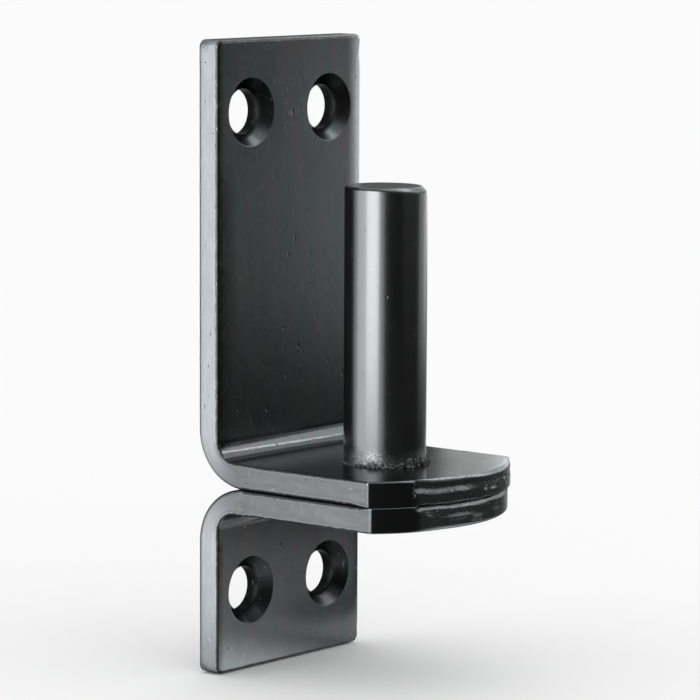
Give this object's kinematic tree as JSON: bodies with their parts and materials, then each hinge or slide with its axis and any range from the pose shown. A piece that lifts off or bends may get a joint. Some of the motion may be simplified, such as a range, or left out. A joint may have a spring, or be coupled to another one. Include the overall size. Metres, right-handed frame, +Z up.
{
  "type": "hinge pintle",
  "caption": "Upright round pin welded on stacked tongues of bent flat bars, screwed to a post to carry a gate or door.",
  "frame": {"origin": "centre of the four screw holes, on the face that meets the post", "axes": "+X across the plate, +Y into the post, +Z up along the pin"},
  "size_m": [0.035, 0.042, 0.1],
  "materials": {
    "plate_steel": "semi-gloss black over hot-rolled flat bar",
    "pin_steel": "semi-gloss black over drawn round bar",
    "weld_metal": "black over rough weld"
  },
  "bodies": {
    "root": {"upper_plate": "plate_steel", "lower_plate": "plate_steel", "pin": "pin_steel", "weld_bead": "weld_metal"}
  },
  "joints": []
}
